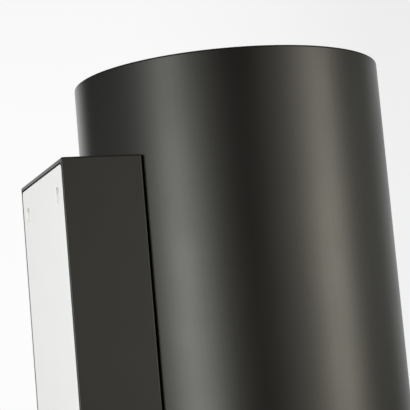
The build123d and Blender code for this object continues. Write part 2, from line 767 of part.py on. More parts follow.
with BuildPart() as holder_nuts:
    for side in (1, -1):
        with BuildSketch(tube_plane.offset(side * tab_bottom)):
            with GridLocations(holder_screw_spacing, 0, 2, 1):
                RegularPolygon(holder_nut_flats / 2, 6, major_radius=False)
                Circle(holder_screw_diameter / 2 + thread_play, mode=Mode.SUBTRACT)
        extrude(amount=-side * holder_nut_height)
holder_nuts.part.label = "holder_nuts"
export_step(holder_nuts.part, "parts/holder_nuts.step")

# Lamp: finned reflector body, front lens and two headed pins
lamp_radius = lamp_diameter / 2
lens_seat = lamp_face - lamp_lens_recess - lamp_lens_thickness
with BuildPart() as lamp_body:
    with BuildSketch(turning_plane):
        Polygon(
            (0, lamp_base),
            (lamp_base_radius, lamp_base),
            (lamp_base_radius, lamp_base + lamp_base_height),
            (lamp_neck_radius, lamp_base + lamp_neck_bottom),
            (lamp_neck_radius, lamp_base + lamp_neck_top),
            (lamp_bowl_radius, lamp_base + lamp_bowl_height),
            (lamp_radius, lamp_base + lamp_rim_bottom),
            (lamp_radius, lamp_face),
            (lamp_radius - lamp_rim, lamp_face),
            (lamp_radius - lamp_rim, lens_seat),
            (0, lens_seat),
            align=None,
        )
    revolve(axis=tube_axis)
    with BuildSketch(tube_plane.offset(lamp_base + lamp_fin_bottom)):
        with PolarLocations(lamp_radius, lamp_fin_count):
            Rectangle(lamp_radius, lamp_fin_gap)
    extrude(amount=lamp_fin_top - lamp_fin_bottom, mode=Mode.SUBTRACT)
write_pair(lamp_body.part, "lamp_body")

with BuildPart() as lamp_lens:
    with BuildSketch(tube_plane.offset(lens_seat)):
        Circle(lamp_radius - lamp_rim)
    extrude(amount=lamp_lens_thickness)
write_pair(lamp_lens.part, "lamp_lens")

with BuildPart() as lamp_pins:
    with BuildSketch(tube_plane.offset(lamp_base)):
        with PolarLocations(pin_radius, 2):
            Circle(pin_diameter / 2)
    extrude(amount=-pin_length)
    with BuildSketch(tube_plane.offset(lamp_base - pin_length)):
        with PolarLocations(pin_radius, 2):
            Circle(pin_head_diameter / 2)
    extrude(amount=pin_head_height)
write_pair(lamp_pins.part, "lamp_pins")


# Leads: straight runs joined by tangent arcs
def bend_radii(points, tight_corner):
    """radius of each corner: a share of its shorter run over the tangent of half the turn"""
    radii = []
    for before, corner, after in zip(points, points[1:], points[2:]):
        run_in = Vector(*corner) - Vector(*before)
        run_out = Vector(*after) - Vector(*corner)
        half_turn = math.radians(run_in.get_angle(run_out)) / 2
        reach = corner_share * min(run_in.length, run_out.length)
        radii.append(min(reach / math.tan(half_turn), lead_bend_limit))
    radii[tight_corner] = lead_turn_radius
    return radii


def write_lead(points, tight_corner, name):
    radii = bend_radii(points, tight_corner)
    with BuildPart() as lead:
        with BuildLine() as route:
            FilletPolyline(*points, radius=radii)
        path = route.wires()[0]
        with BuildSketch(Plane(origin=path @ 0, z_dir=path % 0)):
            Circle(lead_diameter / 2)
        sweep(path=path)
    section = math.pi * (lead_diameter / 2) ** 2
    share = lead.part.volume / (section * path.length)
    print(name, "length", round(path.length, 1), "bend radii", [round(r, 1) for r in radii],
          "volume over section times length", round(share, 4))
    lead.part.label = name
    export_step(lead.part, f"parts/{name}.step")


lead_end = block_top - lead_insertion
turn_back = lead_swing - axis_distance
for name, end_side, x_side in (
    ("upper_live_lead", 1, -1),
    ("upper_neutral_lead", 1, 1),
    ("lower_live_lead", -1, -1),
    ("lower_neutral_lead", -1, 1),
):
    row_z = lead_hole_rise + end_side * lead_row_z
    contact_y = -contact_depth + end_side * lead_stack
    write_lead([
        (x_side * pin_radius, -axis_distance, end_side * pocket_floor),
        (x_side * pin_radius, -axis_distance, end_side * (tab_bottom - lead_drop)),
        (x_side * lead_row_x, turn_back, row_z),
        (x_side * lead_row_x, contact_y, row_z),
        (x_side * pole_pitch, contact_y, block_top + lead_rise),
        (x_side * pole_pitch, contact_y, lead_end),
    ], -2, name)

write_lead([
    (0, barrel_start - barrel_insertion, barrel_z),
    (0, barrel_start - earth_run, barrel_z),
    (0, barrel_start - earth_swing, barrel_z - earth_drop),
    (0, barrel_start, lead_hole_rise),
    (0, -contact_depth, lead_hole_rise),
    (0, -contact_depth, lead_end),
], -1, "earth_lead")
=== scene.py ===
import json
import math

import bmesh
import bpy
import numpy as np
from mathutils import Matrix, Vector


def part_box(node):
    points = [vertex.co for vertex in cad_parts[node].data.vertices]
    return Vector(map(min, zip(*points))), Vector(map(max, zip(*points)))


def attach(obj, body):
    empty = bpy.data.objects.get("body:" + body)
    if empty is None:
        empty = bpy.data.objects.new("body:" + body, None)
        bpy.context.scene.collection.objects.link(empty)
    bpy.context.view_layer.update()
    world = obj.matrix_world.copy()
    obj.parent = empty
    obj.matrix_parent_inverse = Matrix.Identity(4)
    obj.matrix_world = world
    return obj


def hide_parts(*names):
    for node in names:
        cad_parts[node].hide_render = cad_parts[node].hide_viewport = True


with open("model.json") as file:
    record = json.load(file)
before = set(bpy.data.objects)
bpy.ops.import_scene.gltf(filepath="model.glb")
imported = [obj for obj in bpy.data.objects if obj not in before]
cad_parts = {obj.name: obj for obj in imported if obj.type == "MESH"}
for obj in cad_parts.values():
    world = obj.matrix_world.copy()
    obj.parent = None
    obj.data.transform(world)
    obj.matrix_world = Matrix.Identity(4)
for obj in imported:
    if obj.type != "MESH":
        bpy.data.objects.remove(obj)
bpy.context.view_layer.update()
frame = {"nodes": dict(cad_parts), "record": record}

mm = 0.001
nodes = frame["nodes"]

# places read from the frame
tubeLow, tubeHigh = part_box("tube_body")
axisY = (tubeLow.y + tubeHigh.y) / 2
rimHeight = tubeHigh.z


# the camera stands beside the light, a little behind the wall plane, and looks up at it
cameraSettings = {
    "azimuth": 251.64,
    "elevation": -7.246,
    "roll": -5.049,
    "imagePixels": 410,
    "focalPixels": 1506.8,
    "axisPixel": (205.0, 190.0),         # where the lens axis meets the picture, which is cut a little low
    "rimPixel": (225.21, 80.27),         # where the middle of the upper rim lies in the picture
    "rimPixelsPerMetre": 3014.7,
    "sensor": 36.0,
    "nearest": 0.01,
    "farthest": 100.0,
}


# right, up and back of a camera: back comes from the two angles, right and up are turned about it by the roll
def cameraAxes(azimuth, elevation, roll):
    azimuth, elevation, roll = math.radians(azimuth), math.radians(elevation), math.radians(roll)
    level = Vector((math.cos(azimuth), math.sin(azimuth), 0))
    outward = Vector((math.sin(azimuth), -math.cos(azimuth), 0))
    back = math.cos(elevation) * outward + math.sin(elevation) * Vector((0, 0, 1))
    upright = back.cross(level)
    right = math.cos(roll) * level + math.sin(roll) * upright
    up = math.cos(roll) * upright - math.sin(roll) * level
    return right, up, back


# puts the rim's middle at its pixel: camera = rim + back * depth - right * shift across + up * shift down
def placeCamera(look):
    right, up, back = cameraAxes(look["azimuth"], look["elevation"], look["roll"])
    depth = look["focalPixels"] / look["rimPixelsPerMetre"]
    across = (look["rimPixel"][0] - look["axisPixel"][0]) / look["focalPixels"] * depth
    down = (look["rimPixel"][1] - look["axisPixel"][1]) / look["focalPixels"] * depth
    rimMiddle = Vector((0, axisY, rimHeight))
    place = rimMiddle + back * depth - right * across + up * down
    data = bpy.data.cameras.new("camera")
    data.sensor_fit = "HORIZONTAL"
    data.sensor_width = look["sensor"]
    data.lens = look["focalPixels"] / look["imagePixels"] * look["sensor"]
    data.shift_y = (look["axisPixel"][1] - look["imagePixels"] / 2) / look["imagePixels"]
    data.clip_start = look["nearest"]
    data.clip_end = look["farthest"]
    camera = bpy.data.objects.new("camera", data)
    turn = Matrix((right, up, back)).transposed().to_4x4()
    camera.matrix_world = Matrix.Translation(place) @ turn
    bpy.context.scene.collection.objects.link(camera)
    bpy.context.scene.camera = camera


placeCamera(cameraSettings)
bpy.context.scene.view_settings.view_transform = "Standard"
print("camera placed")


# a shader node with its properties and the numbers of its sockets set
def addNode(tree, kind, inputs=None, **values):
    node = tree.nodes.new(kind)
    for key, value in values.items():
        setattr(node, key, value)
    for key, value in (inputs or {}).items():
        node.inputs[key].default_value = value
    return node


# colour ramp with the given (place from 0 to 1, grey or colour) stops
def addRamp(tree, stops, interpolation="LINEAR"):
    node = addNode(tree, "ShaderNodeValToRGB")
    ramp = node.color_ramp
    ramp.interpolation = interpolation
    while len(ramp.elements) < len(stops):
        ramp.elements.new(0.5)
    for element, (place, colour) in zip(ramp.elements, stops):
        element.position = place
        element.color = (*colour, 1) if isinstance(colour, tuple) else (colour, colour, colour, 1)
    return node


# two colours multiplied
def multiply(tree, first, second):
    node = addNode(tree, "ShaderNodeMix", {0: 1.0}, data_type="RGBA", blend_type="MULTIPLY")
    tree.links.new(first, node.inputs[6])
    tree.links.new(second, node.inputs[7])
    return node.outputs[2]


# the room's light by direction: angles go round the object from the camera, to the right, in degrees, and
# heights are the sine of the angle above eye level; "low" adds to "round" near eye level; a scratch program
# fitted most values of these two and their heights to the tube's brightness in the photograph, and they were
# then rounded and some moved by hand
studio = {
    "round": (
        (-180, 0.9), (-152, 0.62), (-143, 0.42), (-133, 0.06), (-112, 0.12), (-90, 0.155), (-70, 0.25),
        (-57, 0.55), (-48, 0.96), (-38, 0.77), (-28, 0.25), (-18, 0.225), (-8, 0.13), (4, 0.058), (16, 0.06),
        (28, 0.155), (40, 0.27), (50, 0.465), (60, 0.73), (68, 0.96), (76, 0.96), (86, 0.44), (97, 0.23),
        (109, 0.205), (123, 0.175), (140, 0.29), (157, 0.4), (180, 0.9),
    ),
    "roundHeight": (
        (-1.0, 0.42), (-0.3, 0.6), (-0.12, 0.4), (-0.03, 0.71), (0.05, 0.98), (0.12, 0.87), (0.19, 0.96),
        (0.27, 0.28), (0.4, 0.16), (1.0, 0.17),
    ),
    "low": (
        (-75, 0.0), (-55, 0.1), (-40, 0.47), (-28, 0.53), (-16, 0.035), (-4, 0.0), (24, 0.04), (50, 0.03),
        (62, 0.19), (76, 0.0),
    ),
    "lowHeight": ((-1.0, 0.3), (-0.3, 0.7), (-0.03, 0.84), (0.04, 0.99), (0.1, 0.44), (0.18, 0.0)),
    "tint": (
        (-150, (1.0, 1.0, 1.03)), (-60, (0.97, 1.01, 1.05)), (-22, (0.98, 1.01, 1.04)),
        (-5, (1.02, 0.985, 0.97)), (80, (1.02, 0.985, 0.95)), (112, (0.99, 1.01, 0.99)),
        (160, (1.0, 1.0, 1.03)),
    ),
    "strength": 1.5,
    "backdrop": ((-1.0, 0.975), (-0.04, 0.965), (0.03, 0.938), (0.12, 0.872), (1.0, 0.85)),
    "backdropHeight": ((-1.0, 1.01), (0.06, 1.01), (0.15, 1.0), (0.28, 0.965), (1.0, 0.965)),
}


# world light worked out from the ray's direction; rays straight from the camera see the plain backdrop
def paintRoom(look, azimuth):
    world = bpy.data.worlds.new("studio")
    bpy.context.scene.world = world
    world.use_nodes = True
    tree = world.node_tree
    tree.nodes.clear()
    link = tree.links.new
    right, _, outward = cameraAxes(azimuth, 0, 0)
    direction = addNode(tree, "ShaderNodeTexCoord").outputs["Generated"]
    across = addNode(tree, "ShaderNodeVectorMath", {1: right}, operation="DOT_PRODUCT")
    towards = addNode(tree, "ShaderNodeVectorMath", {1: outward}, operation="DOT_PRODUCT")
    height = addNode(tree, "ShaderNodeVectorMath", {1: (0, 0, 1)}, operation="DOT_PRODUCT")
    for part in (across, towards, height):
        link(direction, part.inputs[0])
    angle = addNode(tree, "ShaderNodeMath", operation="ARCTAN2")
    link(across.outputs["Value"], angle.inputs[0])
    link(towards.outputs["Value"], angle.inputs[1])
    turned = addNode(tree, "ShaderNodeMapRange", {"From Min": -math.pi, "From Max": math.pi})
    link(angle.outputs[0], turned.inputs["Value"])

    def ofAngle(stops, interpolation="EASE"):
        ramp = addRamp(tree, [((turn + 180) / 360, value) for turn, value in stops], interpolation)
        link(turned.outputs[0], ramp.inputs[0])
        return ramp.outputs[0]

    def ofShare(part, stops, interpolation):
        share = addNode(tree, "ShaderNodeMapRange", {"From Min": -1.0, "From Max": 1.0})
        link(part.outputs["Value"], share.inputs["Value"])
        ramp = addRamp(tree, [((place + 1) / 2, value) for place, value in stops], interpolation)
        link(share.outputs[0], ramp.inputs[0])
        return ramp.outputs[0]

    high = multiply(tree, ofAngle(look["round"]), ofShare(height, look["roundHeight"], "EASE"))
    low = multiply(tree, ofAngle(look["low"]), ofShare(height, look["lowHeight"], "EASE"))
    both = addNode(tree, "ShaderNodeMix", {0: 1.0}, data_type="RGBA", blend_type="ADD")
    link(high, both.inputs[6])
    link(low, both.inputs[7])
    roomLight = addNode(tree, "ShaderNodeBackground", {"Strength": look["strength"]})
    link(multiply(tree, both.outputs[2], ofAngle(look["tint"], "LINEAR")), roomLight.inputs["Color"])
    backdrop = addNode(tree, "ShaderNodeBackground", {"Strength": 1.0})
    shadeAcross = ofShare(across, look["backdrop"], "LINEAR")
    shadeUp = ofShare(height, look["backdropHeight"], "LINEAR")
    link(multiply(tree, shadeAcross, shadeUp), backdrop.inputs["Color"])
    seen = addNode(tree, "ShaderNodeMixShader")
    link(addNode(tree, "ShaderNodeLightPath").outputs["Is Camera Ray"], seen.inputs[0])
    link(roomLight.outputs[0], seen.inputs[1])
    link(backdrop.outputs[0], seen.inputs[2])
    link(seen.outputs[0], addNode(tree, "ShaderNodeOutputWorld").inputs["Surface"])


# soft lamps that polished surfaces don't mirror: a wide one overhead, and one on the wall's side of the plate
overheadLamp = {"from": (-0.35, -0.35, 1.0), "strength": 2.7, "spread": 100.0}
plateLamp = {"place": (-0.95, 0.85, 0.25), "size": 0.45, "power": 1.62, "spread": 60.0}


# turns a lamp so that it shines from its place to the origin
def placeLamp(name, data, place):
    lamp = bpy.data.objects.new(name, data)
    lamp.matrix_world = Matrix.Translation(place) @ place.to_track_quat("Z", "Y").to_matrix().to_4x4()
    lamp.visible_glossy = False
    bpy.context.scene.collection.objects.link(lamp)


def hangLamps(overhead, side):
    data = bpy.data.lights.new("overhead_lamp", "SUN")
    data.energy = overhead["strength"]
    data.angle = math.radians(overhead["spread"])
    placeLamp("overhead_lamp", data, Vector(overhead["from"]))
    data = bpy.data.lights.new("plate_lamp", "AREA")
    data.energy = side["power"]
    data.size = side["size"]
    data.spread = math.radians(side["spread"])
    placeLamp("plate_lamp", data, Vector(side["place"]))


# a plain pale sheet well below the light
floorSheet = {"height": -1.1, "side": 14.0, "colour": (0.88, 0.88, 0.87, 1), "roughness": 0.7}


def layFloor(look):
    half = look["side"] / 2
    corners = [(-half, -half), (half, -half), (half, half), (-half, half)]
    mesh = bpy.data.meshes.new("floor")
    mesh.from_pydata([(x, y, look["height"]) for x, y in corners], [], [(0, 1, 2, 3)])
    floor = bpy.data.objects.new("floor", mesh)
    bpy.context.scene.collection.objects.link(floor)
    material = bpy.data.materials.new("floor_paper")
    material.use_nodes = True
    shader = material.node_tree.nodes["Principled BSDF"]
    shader.inputs["Base Color"].default_value = look["colour"]
    shader.inputs["Roughness"].default_value = look["roughness"]
    mesh.materials.append(material)
    floor.visible_glossy = False


paintRoom(studio, cameraSettings["azimuth"])
hangLamps(overheadLamp, plateLamp)
layFloor(floorSheet)
print("room lit")


# a noise of the given grain, which may differ along x, y and z; with ring=True it runs by distance from the
# tube's axis
def addNoise(tree, grain, detail, ring=False):
    place = addNode(tree, "ShaderNodeTexCoord").outputs["Object"]
    mapping = addNode(tree, "ShaderNodeMapping")
    tree.links.new(place, mapping.inputs["Vector"])
    if ring:
        mapping.inputs["Location"].default_value = (0, -axisY / grain, 0)
        mapping.inputs["Scale"].default_value = (1 / grain, 1 / grain, 0)
        radius = addNode(tree, "ShaderNodeVectorMath", operation="LENGTH")
        tree.links.new(mapping.outputs[0], radius.inputs[0])
        noise = addNode(tree, "ShaderNodeTexNoise", {"Scale": 1.0, "Detail": detail}, noise_dimensions="1D")
        tree.links.new(radius.outputs["Value"], noise.inputs["W"])
        return noise.outputs["Fac"]
    grains = grain if isinstance(grain, tuple) else (grain, grain, grain)
    mapping.inputs["Scale"].default_value = tuple(1 / size for size in grains)
    noise = addNode(tree, "ShaderNodeTexNoise", {"Scale": 1.0, "Detail": detail})
    tree.links.new(mapping.outputs[0], noise.inputs["Vector"])
    return noise.outputs["Fac"]


noiseSpan = (0.25, 0.75)                 # the part of a noise's range that carries a finish from end to end
noiseDetail = {"roughness": 3.0, "colour": 4.0, "marks": 1.0, "bumps": 2.0}
markEdge = 0.06                          # how softly a mark begins, in the noise's range


# a finish from plain numbers, all by object coordinates: colour wanders by "spread" and roughness between two
# values over clouds of size "cloud"; "bumps" are layers of (grain, depth, ring or not) laid on each other;
# "marks" mixes in a second colour where a finer noise passes a threshold
def makeFinish(name, look):
    material = bpy.data.materials.new(name)
    material.use_nodes = True
    tree = material.node_tree
    link = tree.links.new
    shader = tree.nodes["Principled BSDF"]
    for socket, value in look.get("sockets", {}).items():
        shader.inputs[socket].default_value = value
    cloud = addNoise(tree, look["cloud"], noiseDetail["roughness"])
    start, stop = noiseSpan
    low, high = look["roughness"]
    rough = addNode(tree, "ShaderNodeMapRange", {
        "From Min": start, "From Max": stop, "To Min": low, "To Max": high,
    })
    link(cloud, rough.inputs["Value"])
    link(rough.outputs[0], shader.inputs["Roughness"])
    darker = tuple(value * (1 - look["spread"]) for value in look["colour"])
    lighter = tuple(min(value * (1 + look["spread"]), 1.0) for value in look["colour"])
    tint = addRamp(tree, [(start, darker), (stop, lighter)])
    link(addNoise(tree, look.get("mottle", look["cloud"]), noiseDetail["colour"]), tint.inputs[0])
    colour = tint.outputs[0]
    if "marks" in look:
        grain, threshold, markColour = look["marks"]
        mask = addRamp(tree, [(threshold, 0.0), (threshold + markEdge, 1.0)])
        link(addNoise(tree, grain, noiseDetail["marks"]), mask.inputs[0])
        marked = addNode(tree, "ShaderNodeMix", data_type="RGBA")
        marked.inputs[7].default_value = (*markColour, 1)
        link(mask.outputs[0], marked.inputs[0])
        link(colour, marked.inputs[6])
        colour = marked.outputs[2]
    link(colour, shader.inputs["Base Color"])
    normal = None
    for grain, depth, ring in look["bumps"]:
        bump = addNode(tree, "ShaderNodeBump", {"Strength": 1.0, "Distance": depth})
        link(addNoise(tree, grain, noiseDetail["bumps"], ring), bump.inputs["Height"])
        if normal is not None:
            link(normal, bump.inputs["Normal"])
        normal = bump.outputs[0]
    link(normal, shader.inputs["Normal"])
    return material


slotNodes = {}
for part in frame["record"]["subparts"]:
    slotNodes.setdefault(part["material_slot"], []).append(part["node"])


# makes a slot's finish and puts it on each CAD node of that slot
def dressSlot(slotName, look):
    material = makeFinish(slotName, look)
    for name in slotNodes[slotName]:
        mesh = nodes[name].data
        mesh.materials.clear()
        mesh.materials.append(material)
    return material


metal = {"Metallic": 1.0}

# tube and box: dark grey-bronze anodised metal; the tube has faint lines drawn along it, the box has the
# slight waves of rolled sheet
dressSlot("tube_finish", {
    "colour": (0.174, 0.1695, 0.151), "spread": 0.03, "roughness": (0.26, 0.32), "cloud": 28 * mm,
    "mottle": (0.5 * mm, 0.5 * mm, 90 * mm), "sockets": metal,
    "bumps": ((0.35 * mm, 0.0018 * mm, False), ((0.4 * mm, 0.4 * mm, 80 * mm), 0.0012 * mm, False)),
})
dressSlot("box_finish", {
    "colour": (0.156, 0.154, 0.1365), "spread": 0.03, "roughness": (0.28, 0.34), "cloud": 22 * mm,
    "mottle": (9 * mm, 9 * mm, 14 * mm), "sockets": metal,
    "bumps": ((0.35 * mm, 0.002 * mm, False), ((7 * mm, 7 * mm, 20 * mm), 0.004 * mm, False)),
})
plateFinish = dressSlot("plate_metal", {
    "colour": (0.87, 0.875, 0.85), "spread": 0.012, "roughness": (0.36, 0.46), "cloud": 16 * mm,
    "sockets": {"Specular IOR Level": 0.4},
    "bumps": ((1.1 * mm, 0.012 * mm, False), (0.3 * mm, 0.002 * mm, False)),
})
dressSlot("bracket_steel", {
    "colour": (0.62, 0.63, 0.65), "spread": 0.07, "roughness": (0.26, 0.42), "cloud": 5 * mm,
    "mottle": 2.2 * mm, "sockets": metal,
    "bumps": (((0.25 * mm, 0.25 * mm, 12 * mm), 0.003 * mm, False), (3 * mm, 0.004 * mm, False)),
})
dressSlot("screw_steel", {
    "colour": (0.60, 0.60, 0.59), "spread": 0.08, "roughness": (0.28, 0.44), "cloud": 1.4 * mm,
    "sockets": metal, "bumps": ((0.16 * mm, 0.004 * mm, False),),
})
dressSlot("black_steel", {
    "colour": (0.05, 0.049, 0.046), "spread": 0.15, "roughness": (0.34, 0.5), "cloud": 1.6 * mm,
    "sockets": {"Metallic": 0.9}, "bumps": ((0.18 * mm, 0.004 * mm, False),),
})
dressSlot("black_rubber", {
    "colour": (0.035, 0.035, 0.034), "spread": 0.2, "roughness": (0.55, 0.78), "cloud": 4 * mm,
    "sockets": {"Specular IOR Level": 0.3},
    "bumps": ((0.22 * mm, 0.010 * mm, False), (1.6 * mm, 0.015 * mm, False)),
})
dressSlot("clear_silicone", {
    "colour": (0.66, 0.66, 0.64), "spread": 0.05, "roughness": (0.35, 0.55), "cloud": 3 * mm,
    "sockets": {"Subsurface Weight": 0.5, "Subsurface Radius": (0.002, 0.002, 0.002), "IOR": 1.41},
    "bumps": ((0.6 * mm, 0.008 * mm, False),),
})
dressSlot("brass", {
    "colour": (0.76, 0.57, 0.27), "spread": 0.08, "roughness": (0.22, 0.38), "cloud": 2 * mm,
    "sockets": metal, "bumps": ((0.2 * mm, 0.003 * mm, False),),
})
dressSlot("ivory_plastic", {
    "colour": (0.78, 0.75, 0.65), "spread": 0.04, "roughness": (0.38, 0.52), "cloud": 5 * mm,
    "sockets": {"Subsurface Weight": 0.15, "Subsurface Radius": (0.001, 0.001, 0.0008)},
    "bumps": ((0.25 * mm, 0.006 * mm, False), (3 * mm, 0.01 * mm, False)),
})
dressSlot("ceramic", {
    "colour": (0.84, 0.81, 0.75), "spread": 0.05, "roughness": (0.24, 0.40), "cloud": 4 * mm,
    "marks": (0.5 * mm, 0.70, (0.48, 0.42, 0.34)), "sockets": {"Coat Weight": 0.25, "Coat Roughness": 0.15},
    "bumps": ((0.4 * mm, 0.008 * mm, False), (2.5 * mm, 0.02 * mm, False)),
})
dressSlot("seat_metal", {
    "colour": (0.055, 0.054, 0.052), "spread": 0.1, "roughness": (0.30, 0.42), "cloud": 8 * mm,
    "sockets": metal, "bumps": ((0.18 * mm, 0.006 * mm, True), (0.2 * mm, 0.002 * mm, False)),
})
ringFinish = dressSlot("ring_metal", {
    "colour": (0.05, 0.049, 0.047), "spread": 0.1, "roughness": (0.24, 0.36), "cloud": 8 * mm,
    "sockets": metal, "bumps": ((0.22 * mm, 0.008 * mm, True), (0.2 * mm, 0.002 * mm, False)),
})
baffleFinish = dressSlot("baffle_black", {
    "colour": (0.022, 0.022, 0.021), "spread": 0.25, "roughness": (0.55, 0.75), "cloud": 5 * mm,
    "sockets": {"Specular IOR Level": 0.35},
    "bumps": ((0.15 * mm, 0.010 * mm, False), (0.5 * mm, 0.004 * mm, True)),
})
glassFinish = dressSlot("clear_glass", {
    "colour": (0.965, 0.985, 0.975), "spread": 0.008, "roughness": (0.0, 0.02), "cloud": 20 * mm,
    "sockets": {"Transmission Weight": 1.0, "IOR": 1.52}, "bumps": ((16 * mm, 0.004 * mm, False),),
})
dressSlot("lamp_shell", {
    "colour": (0.80, 0.805, 0.81), "spread": 0.03, "roughness": (0.30, 0.42), "cloud": 5 * mm,
    "sockets": {"Metallic": 0.65}, "bumps": ((0.12 * mm, 0.004 * mm, False), (0.3 * mm, 0.003 * mm, True)),
})
lampLensFinish = dressSlot("lamp_lens", {
    "colour": (0.95, 0.95, 0.935), "spread": 0.02, "roughness": (0.20, 0.32), "cloud": 3 * mm,
    "sockets": {"Transmission Weight": 0.9, "IOR": 1.49}, "bumps": ((0.12 * mm, 0.004 * mm, False),),
})
dressSlot("nickel", {
    "colour": (0.70, 0.68, 0.64), "spread": 0.05, "roughness": (0.14, 0.26), "cloud": 2 * mm,
    "sockets": metal, "bumps": ((0.15 * mm, 0.002 * mm, False),),
})
leadLook = {
    "spread": 0.08, "roughness": (0.34, 0.5), "cloud": 3 * mm, "sockets": {"Coat Weight": 0.1},
    "bumps": ((0.2 * mm, 0.004 * mm, False), (4 * mm, 0.03 * mm, False)),
}
dressSlot("brown_lead", {"colour": (0.17, 0.075, 0.035), **leadLook})
dressSlot("blue_lead", {"colour": (0.045, 0.15, 0.42), **leadLook})
earthFinish = dressSlot("earth_lead", {"colour": (0.20, 0.44, 0.06), **leadLook})


# the earth lead lies in the plane x = 0, so a sharp step in x gives it a yellow half all along
def stripeLead(material, yellow, edge):
    tree = material.node_tree
    shader = tree.nodes["Principled BSDF"]
    green = shader.inputs["Base Color"].links[0].from_socket
    across = addNode(tree, "ShaderNodeSeparateXYZ")
    tree.links.new(addNode(tree, "ShaderNodeTexCoord").outputs["Object"], across.inputs[0])
    step = addNode(tree, "ShaderNodeMapRange", {"From Min": -edge, "From Max": edge})
    tree.links.new(across.outputs["X"], step.inputs["Value"])
    striped = addNode(tree, "ShaderNodeMix", data_type="RGBA")
    striped.inputs[7].default_value = (*yellow, 1)
    tree.links.new(step.outputs[0], striped.inputs[0])
    tree.links.new(green, striped.inputs[6])
    tree.links.new(striped.outputs[2], shader.inputs["Base Color"])


stripeLead(earthFinish, yellow=(0.80, 0.62, 0.05), edge=0.06 * mm)
print("nodes dressed")


roundTurns = 192                         # points round a spun piece
sharpAngle = 32.0                        # degrees at which an edge of a new mesh is left sharp


# mesh object from points and faces, turned right side out by the sign of its volume, which is the sum over
# its triangles of a . (b x c) / 6, and smooth except at its sharp edges
def meshObject(name, points, faceArrays):
    triangles = np.concatenate([
        faces[:, [0, k, k + 1]] for faces in faceArrays for k in range(1, faces.shape[1] - 1)
    ])
    a, b, c = (points[triangles[:, k]] for k in range(3))
    volume = np.einsum("ij,ij->i", a, np.cross(b, c)).sum() / 6
    if volume < 0:
        faceArrays = [faces[:, ::-1] for faces in faceArrays]
    mesh = bpy.data.meshes.new(name)
    mesh.from_pydata(points.tolist(), [], [face for faces in faceArrays for face in faces.tolist()])
    mesh.shade_smooth()
    mesh.set_sharp_from_angle(angle=math.radians(sharpAngle))
    piece = bpy.data.objects.new(name, mesh)
    bpy.context.scene.collection.objects.link(piece)
    return piece


# quads between neighbouring rows and columns of an index grid, whose columns close on themselves
def ringQuads(index, closeRows):
    lower = index if closeRows else index[:-1]
    upper = np.roll(index, -1, axis=0) if closeRows else index[1:]
    quads = np.stack([lower, np.roll(lower, -1, axis=1), np.roll(upper, -1, axis=1), upper], axis=-1)
    return quads.reshape(-1, 4)


# the quads of an index grid, and fans that close its first and last row round the two points after the grid
def closedRings(index):
    first, last = index[0], index[-1]
    before = np.full(len(first), index.size)
    after = before + 1
    return [ringQuads(index, closeRows=False), np.stack([before, np.roll(first, -1), first], axis=-1),
            np.stack([after, last, np.roll(last, -1)], axis=-1)]


# each corner of a closed outline becomes an arc (1 - t)^2 A + 2 t (1 - t) C + t^2 B, where A and B lie at the
# rounding's distance from the corner C along its two sides
def roundCorners(outline, rounding, steps):
    corners = np.asarray(outline, float)
    toBefore = np.roll(corners, 1, axis=0) - corners
    toAfter = np.roll(corners, -1, axis=0) - corners
    toBefore /= np.linalg.norm(toBefore, axis=1, keepdims=True)
    toAfter /= np.linalg.norm(toAfter, axis=1, keepdims=True)
    t = np.linspace(0, 1, steps)[None, :, None]
    start = (corners + toBefore * rounding)[:, None]
    end = (corners + toAfter * rounding)[:, None]
    return ((1 - t) ** 2 * start + 2 * t * (1 - t) * corners[:, None] + t ** 2 * end).reshape(-1, 2)


# closed outline of (radius, height) spun about the tube's axis: x = r cos u, y = axis + r sin u, z = height
def spunRing(name, outline):
    u = np.linspace(0, 2 * math.pi, roundTurns, endpoint=False)
    radius, height = outline[:, :1], outline[:, 1:]
    points = np.stack([radius * np.cos(u), axisY + radius * np.sin(u), height + 0 * u], axis=-1)
    index = np.arange(points.shape[0] * roundTurns).reshape(-1, roundTurns)
    return meshObject(name, points.reshape(-1, 3), [ringQuads(index, closeRows=True)])


# the same for a disc: the first and last points of the line lie on the axis and become single points, with
# fans; "lift" gives what x and y add to the height anywhere but at those two points
def spunDisc(name, line, turns=roundTurns, lift=None):
    u = np.linspace(0, 2 * math.pi, turns, endpoint=False)
    radius, height = line[1:-1, :1], line[1:-1, 1:]
    points = np.stack([radius * np.cos(u), radius * np.sin(u), height + 0 * u], axis=-1)
    if lift is not None:
        points[..., 2] += lift(points[..., 0], points[..., 1])
    index = np.arange(points.shape[0] * turns).reshape(-1, turns)
    poles = np.array([[0, 0, line[0, 1]], [0, 0, line[-1, 1]]])
    points = np.concatenate([points.reshape(-1, 3), poles]) + np.array([0, axisY, 0])
    return meshObject(name, points, closedRings(index))


# the piece rides on a body, stands for its node, if any, which it hides, and takes a finish
def fitPiece(piece, body, material, node=None):
    piece.data.materials.clear()
    piece.data.materials.append(material)
    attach(piece, body)
    if node:
        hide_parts(node)


# for the lower end every height changes its sign
def atEnd(outline, side):
    return np.asarray(outline, float) * mm * np.array([1, side])


ends = (("upper", 1), ("lower", -1))

# glass: a disc with ground edges
glassLook = {"radius": 43.0, "bottom": 100.5, "top": 104.5, "ground": 0.6}


def makeGlass(end, side, look):
    radius, low, high, ground = look["radius"], look["bottom"], look["top"], look["ground"]
    outline = [(0, low), (radius - ground, low), (radius, low + ground), (radius, high - ground),
               (radius - ground, high), (0, high)]
    piece = spunDisc(f"{end}_glass_disc", atEnd(outline, side))
    fitPiece(piece, f"{end}_lens_unit", glassFinish, f"{end}_glass")


# baffle: a spun cone whose inner side has steps cut a little into its sheet, against glare
baffleLook = {
    "outerRadius": 45.3, "flangeTop": 99.0, "flangeBottom": 98.2, "flangeEdge": 40.5, "coneRadius": 26.4,
    "coneTop": 88.2, "coneBottom": 87.19, "underRadius": 39.46,
    "steps": 9, "stepDepth": 0.34, "stepTread": 0.86, "rounding": 0.09, "roundingSteps": 3,
}


